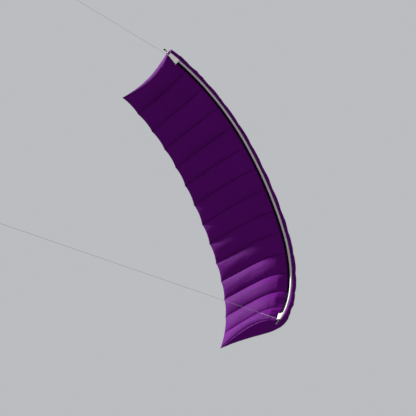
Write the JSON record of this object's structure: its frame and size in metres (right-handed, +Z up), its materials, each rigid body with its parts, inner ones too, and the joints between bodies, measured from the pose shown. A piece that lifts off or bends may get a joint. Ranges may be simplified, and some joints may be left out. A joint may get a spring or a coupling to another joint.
{
  "type": "kite",
  "caption": "Two-line ram-air power kite: bowed cellular cloth wing with a flexible leading-edge spar, tip leaders and taut flying lines",
  "frame": {"origin": "spar axis at mid-span of the leading edge", "axes": "+X along the span to the right tip, -Y forward towards the leading edge, +Z up away from the flyer; the flying lines hang along -Z"},
  "size_m": [2.7142, 0.7765, 4.6462],
  "materials": {
    "upper_cloth": "coated ripstop, slight sheen",
    "lower_cloth": "coated ripstop, slight sheen",
    "rib_cloth": "coated ripstop",
    "intake_mesh": "open black mesh",
    "spar_rod": "pultruded fibre rod",
    "spar_sleeve": "woven webbing",
    "ferrule": "drawn tube",
    "tip_patch": "heavy white reinforcement cloth",
    "end_fittings": "moulded black",
    "leader_cord": "braided white cord",
    "line_cord": "fine braided line"
  },
  "bodies": {
    "wing_centre": {"upper_panel_06": "upper_cloth", "lower_panel_06": "lower_cloth", "upper_panel_07": "upper_cloth", "lower_panel_07": "lower_cloth", "upper_panel_08": "upper_cloth", "lower_panel_08": "lower_cloth", "upper_panel_09": "upper_cloth", "lower_panel_09": "lower_cloth", "ribs_centre": "rib_cloth", "intake_mesh_centre": "intake_mesh", "spar_rod_centre": "spar_rod", "spar_sleeve_centre": "spar_sleeve", "ferrule_left": "ferrule", "ferrule_right": "ferrule"},
    "wing_left_mid": {"upper_panel_03": "upper_cloth", "lower_panel_03": "lower_cloth", "upper_panel_04": "upper_cloth", "lower_panel_04": "lower_cloth", "upper_panel_05": "upper_cloth", "lower_panel_05": "lower_cloth", "ribs_left_mid": "rib_cloth", "intake_mesh_left_mid": "intake_mesh", "spar_rod_left_mid": "spar_rod", "spar_sleeve_left_mid": "spar_sleeve"},
    "wing_left_tip": {"upper_panel_01": "upper_cloth", "lower_panel_01": "lower_cloth", "upper_panel_02": "upper_cloth", "lower_panel_02": "lower_cloth", "ribs_left_tip": "rib_cloth", "intake_mesh_left_tip": "intake_mesh", "spar_rod_left_tip": "spar_rod", "spar_sleeve_left_tip": "spar_sleeve", "tip_patch_left": "tip_patch", "spar_end_fittings_left": "end_fittings"},
    "wing_right_mid": {"upper_panel_10": "upper_cloth", "lower_panel_10": "lower_cloth", "upper_panel_11": "upper_cloth", "lower_panel_11": "lower_cloth", "upper_panel_12": "upper_cloth", "lower_panel_12": "lower_cloth", "ribs_right_mid": "rib_cloth", "intake_mesh_right_mid": "intake_mesh", "spar_rod_right_mid": "spar_rod", "spar_sleeve_right_mid": "spar_sleeve"},
    "wing_right_tip": {"upper_panel_13": "upper_cloth", "lower_panel_13": "lower_cloth", "upper_panel_14": "upper_cloth", "lower_panel_14": "lower_cloth", "ribs_right_tip": "rib_cloth", "intake_mesh_right_tip": "intake_mesh", "spar_rod_right_tip": "spar_rod", "spar_sleeve_right_tip": "spar_sleeve", "tip_patch_right": "tip_patch", "spar_end_fittings_right": "end_fittings"},
    "leader_left": {"leader_left": "leader_cord"},
    "line_left": {"flying_line_left": "line_cord", "line_loop_left": "line_cord"},
    "leader_right": {"leader_right": "leader_cord"},
    "line_right": {"flying_line_right": "line_cord", "line_loop_right": "line_cord"}
  },
  "joints": [
    {"name": "left_inner_flex", "type": "hinge", "parent": "wing_centre", "child": "wing_left_mid", "pos_m": [-0.44905, 0.01422, 0.02753], "axis": [0.0545, 0.9968, -0.0585], "range_deg": [-3, 24], "stiffness_Nm_per_rad": 40},
    {"name": "left_outer_flex", "type": "hinge", "parent": "wing_left_mid", "child": "wing_left_tip", "pos_m": [-1.06779, 0.07462, -0.24446], "axis": [0.1347, 0.989, 0.0607], "range_deg": [-3, 24], "stiffness_Nm_per_rad": 40},
    {"name": "left_leader_swing", "type": "hinge", "parent": "wing_left_tip", "child": "leader_left", "pos_m": [-1.29295, 0.15837, -0.61485], "axis": [0, 1, 0], "range_deg": [-48, 6]},
    {"name": "left_line_swing", "type": "hinge", "parent": "leader_left", "child": "line_left", "pos_m": [-1.29295, 0.15837, -0.89485], "axis": [1, 0, 0], "range_deg": [-60, 60]},
    {"name": "right_inner_flex", "type": "hinge", "parent": "wing_centre", "child": "wing_right_mid", "pos_m": [0.44905, 0.01422, 0.02753], "axis": [0.0545, -0.9968, 0.0585], "range_deg": [-3, 24], "stiffness_Nm_per_rad": 40},
    {"name": "right_outer_flex", "type": "hinge", "parent": "wing_right_mid", "child": "wing_right_tip", "pos_m": [1.06779, 0.07462, -0.24446], "axis": [0.1347, -0.989, -0.0607], "range_deg": [-3, 24], "stiffness_Nm_per_rad": 40},
    {"name": "right_leader_swing", "type": "hinge", "parent": "wing_right_tip", "child": "leader_right", "pos_m": [1.29295, 0.15837, -0.61485], "axis": [0, -1, 0], "range_deg": [-48, 6]},
    {"name": "right_line_swing", "type": "hinge", "parent": "leader_right", "child": "line_right", "pos_m": [1.29295, 0.15837, -0.89485], "axis": [1, 0, 0], "range_deg": [-60, 60]}
  ],
  "couplings": [
    {"joint": "left_outer_flex", "follows": "left_inner_flex", "ratio": 1},
    {"joint": "left_leader_swing", "follows": "left_inner_flex", "ratio": -2},
    {"joint": "right_outer_flex", "follows": "right_inner_flex", "ratio": 1},
    {"joint": "right_leader_swing", "follows": "right_inner_flex", "ratio": -2}
  ]
}
